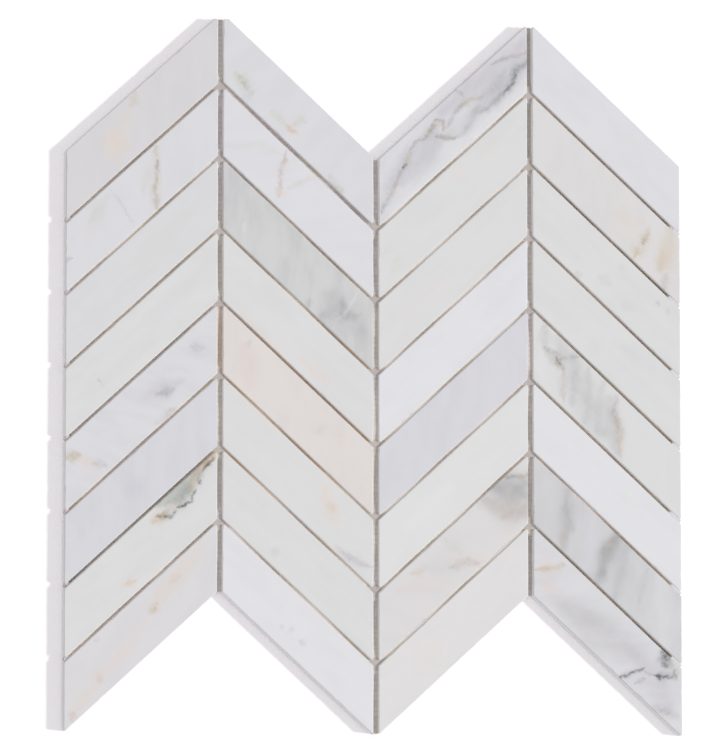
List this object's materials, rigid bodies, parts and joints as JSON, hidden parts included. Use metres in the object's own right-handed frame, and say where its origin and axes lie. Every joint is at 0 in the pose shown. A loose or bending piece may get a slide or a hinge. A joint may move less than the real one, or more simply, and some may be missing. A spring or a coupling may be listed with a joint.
{
  "type": "chevron mosaic tile sheet",
  "caption": "Flat sheet of polished white marble chevron strips on a glass-fibre net, with open joints and zigzag ends that nest into the next sheet, for facing a wall.",
  "frame": {"origin": "centre of the sheet's outline, on the surface that the net side lies on", "axes": "+X across the columns to the right, +Y up the columns towards the end with the single notch, +Z out of the polished face"},
  "size_m": [0.302, 0.3448, 0.0065],
  "materials": {
    "polished_marble": "polished white marble with soft grey clouds and a few gold and grey veins; sawn sides and backs",
    "backing_net": "woven glass-fibre net, stiffened with a clear pale glue"
  },
  "bodies": {
    "root": {"mesh_backing": "backing_net", "strip_col1_row1": "polished_marble", "strip_col1_row2": "polished_marble", "strip_col1_row3": "polished_marble", "strip_col1_row4": "polished_marble", "strip_col1_row5": "polished_marble", "strip_col1_row6": "polished_marble", "strip_col1_row7": "polished_marble", "strip_col1_row8": "polished_marble", "strip_col2_row1": "polished_marble", "strip_col2_row2": "polished_marble", "strip_col2_row3": "polished_marble", "strip_col2_row4": "polished_marble", "strip_col2_row5": "polished_marble", "strip_col2_row6": "polished_marble", "strip_col2_row7": "polished_marble", "strip_col2_row8": "polished_marble", "strip_col3_row1": "polished_marble", "strip_col3_row2": "polished_marble", "strip_col3_row3": "polished_marble", "strip_col3_row4": "polished_marble", "strip_col3_row5": "polished_marble", "strip_col3_row6": "polished_marble", "strip_col3_row7": "polished_marble", "strip_col3_row8": "polished_marble", "strip_col4_row1": "polished_marble", "strip_col4_row2": "polished_marble", "strip_col4_row3": "polished_marble", "strip_col4_row4": "polished_marble", "strip_col4_row5": "polished_marble", "strip_col4_row6": "polished_marble", "strip_col4_row7": "polished_marble", "strip_col4_row8": "polished_marble"}
  },
  "joints": []
}
